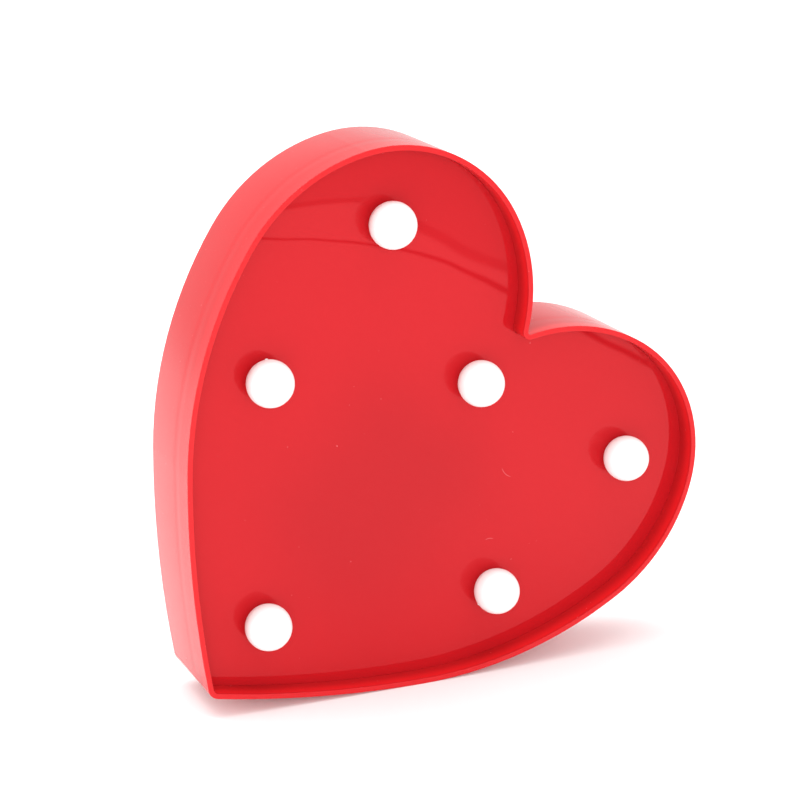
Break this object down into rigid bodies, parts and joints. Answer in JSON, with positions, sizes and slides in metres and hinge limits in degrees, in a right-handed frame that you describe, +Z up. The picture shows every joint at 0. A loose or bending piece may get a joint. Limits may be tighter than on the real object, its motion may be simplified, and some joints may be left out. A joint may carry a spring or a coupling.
{
  "type": "heart marquee light",
  "caption": "Heart-shaped plastic marquee light with globe bulbs on a recessed glossy face, battery bay, slide switch and keyhole at the back.",
  "frame": {"origin": "centre of the bounding box on the surface the light stands on", "axes": "+Z up, +Y towards the flat back, -Y the side the bulbs face, +X to the right seen from the bulbs' side"},
  "size_m": [0.1904, 0.0424, 0.1906],
  "materials": {
    "red_gloss": "high gloss moulded red plastic",
    "red_mirror_gloss": "polished red plastic that mirrors its rim and bulbs",
    "red_satin": "satin moulded red plastic",
    "globe_white": "opal white plastic that spreads the light",
    "led_clear": "milky clear epoxy",
    "holder_white": "plain white plastic",
    "cell_jacket": "printed jacket over a metal can",
    "contact_metal": "nickel plated spring steel",
    "switch_metal": "tinned steel can",
    "black_plastic": "black plastic",
    "screw_steel": "zinc plated steel",
    "resistor_coat": "beige coating",
    "wire_red": "soft red insulation",
    "wire_black": "soft black insulation"
  },
  "bodies": {
    "light": {"front_shell": "red_gloss", "face_panel": "red_mirror_gloss", "back_cover": "red_satin", "battery_1": "cell_jacket", "battery_2": "cell_jacket", "contact_positive": "contact_metal", "contact_negative": "contact_metal", "contact_bridge": "contact_metal", "contact_springs": "contact_metal", "switch_body": "switch_metal", "cover_screws": "screw_steel", "switch_screws": "screw_steel", "resistor": "resistor_coat", "wire_switch": "wire_red", "wire_positive": "wire_red", "wire_negative": "wire_black", "bulb_cap_1": "globe_white", "bulb_cap_2": "globe_white", "bulb_cap_3": "globe_white", "bulb_cap_4": "globe_white", "bulb_cap_5": "globe_white", "bulb_cap_6": "globe_white", "led_1": "led_clear", "led_2": "led_clear", "led_3": "led_clear", "led_4": "led_clear", "led_5": "led_clear", "led_6": "led_clear", "led_holder_1": "holder_white", "led_holder_2": "holder_white", "led_holder_3": "holder_white", "led_holder_4": "holder_white", "led_holder_5": "holder_white", "led_holder_6": "holder_white"},
    "battery_door": {"battery_door": "red_satin"},
    "switch_lever": {"switch_lever": "black_plastic"}
  },
  "joints": [
    {"name": "door_hinge", "type": "hinge", "parent": "light", "child": "battery_door", "pos_m": [-0.00023, 0.01933, 0.09459], "axis": [0.6972, 0, -0.7169], "range_deg": [0, 100]},
    {"name": "switch_slide", "type": "slide", "parent": "light", "child": "switch_lever", "axis": [0.6972, 0, -0.7169], "range_m": [0, 0.003]}
  ]
}
